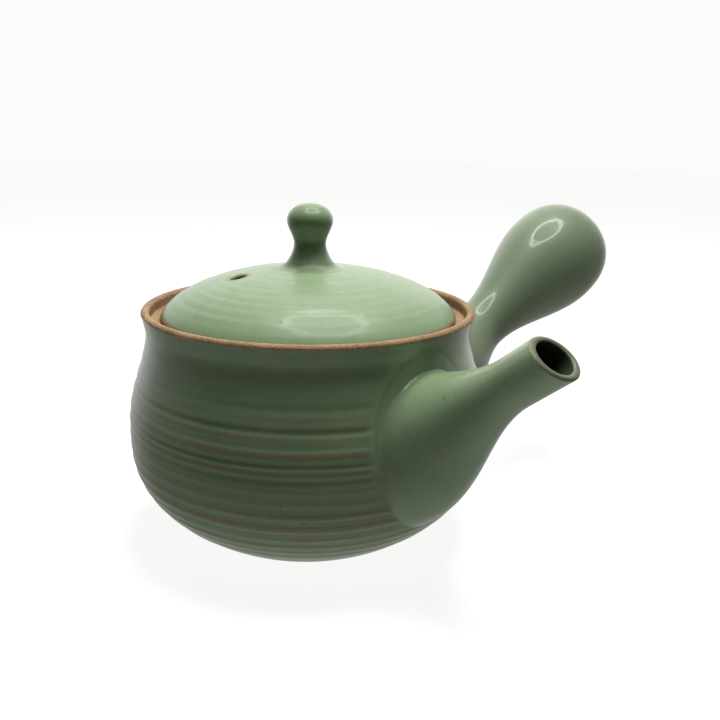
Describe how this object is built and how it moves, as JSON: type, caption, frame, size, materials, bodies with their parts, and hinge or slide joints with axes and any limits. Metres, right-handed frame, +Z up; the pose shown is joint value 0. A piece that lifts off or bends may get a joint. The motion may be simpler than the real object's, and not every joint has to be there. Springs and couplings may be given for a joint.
{
  "type": "side-handled teapot",
  "caption": "Round low teapot with a leaning tapered spout, a bulbous hollow side handle at a right angle to it, a perforated strainer and a domed lift-off lid with a knob.",
  "frame": {"origin": "centre of the round foot, on the plane it stands on, under the axis of the pot", "axes": "+Z up along the axis of the pot, +X the way the spout leans and pours, +Y to the side the handle leans (82.4 degrees anticlockwise from the spout, seen from above)"},
  "size_m": [0.1446, 0.1785, 0.1006],
  "materials": {
    "green_glaze": "satin celadon glaze over throwing rings",
    "bare_clay": "matt unglazed stoneware"
  },
  "bodies": {
    "pot": {"pot_body": "green_glaze", "gallery": "bare_clay", "spout": "green_glaze", "strainer": "bare_clay", "handle": "green_glaze"},
    "cover": {"lid": "green_glaze", "lid_flange": "bare_clay", "lid_knob": "green_glaze"}
  },
  "joints": [
    {"name": "lid_lift", "type": "slide", "parent": "pot", "child": "cover", "axis": [0, 0, 1], "range_m": [0, 0.07]}
  ]
}
